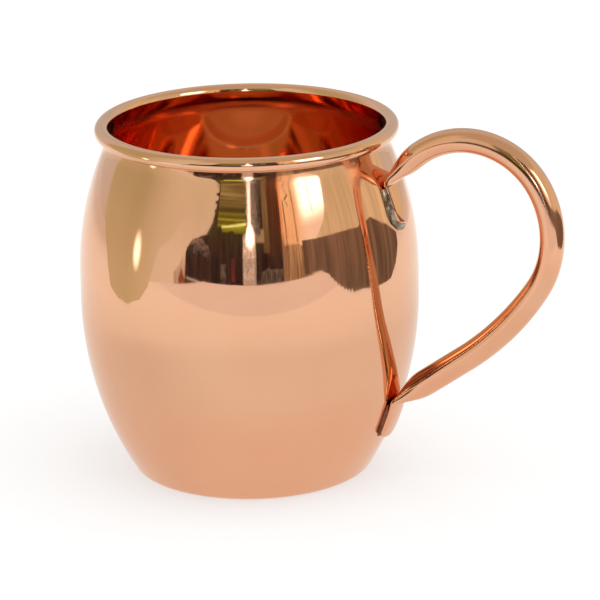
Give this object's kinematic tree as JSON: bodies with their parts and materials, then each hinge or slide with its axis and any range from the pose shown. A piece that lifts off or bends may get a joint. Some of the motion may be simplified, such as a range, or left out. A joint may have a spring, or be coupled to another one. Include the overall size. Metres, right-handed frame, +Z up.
{
  "type": "copper mug",
  "caption": "Barrel-shaped copper drinking mug with a rolled rim, a flat bottom and a looped tube handle soldered to its side.",
  "frame": {"origin": "centre of the flat bottom, on the surface that the mug stands on", "axes": "+Z up along the cup's axis, +X towards the handle, whose loop lies in the XZ plane"},
  "size_m": [0.1311, 0.0888, 0.0966],
  "materials": {
    "polished_copper": "polished bare copper sheet, mirror bright with fine wipe marks, deeper orange inside",
    "tube_copper": "polished bare copper tube, a little softer than the cup, with small dents from bending",
    "grey_solder": "dull silver-grey tin solder, bright on its crown and dark at its edge",
    "brown_solder": "thin brazed seam, darkened brown by heat"
  },
  "bodies": {
    "root": {"cup": "polished_copper", "handle": "tube_copper", "upper_solder": "grey_solder", "lower_solder": "brown_solder"}
  },
  "joints": []
}
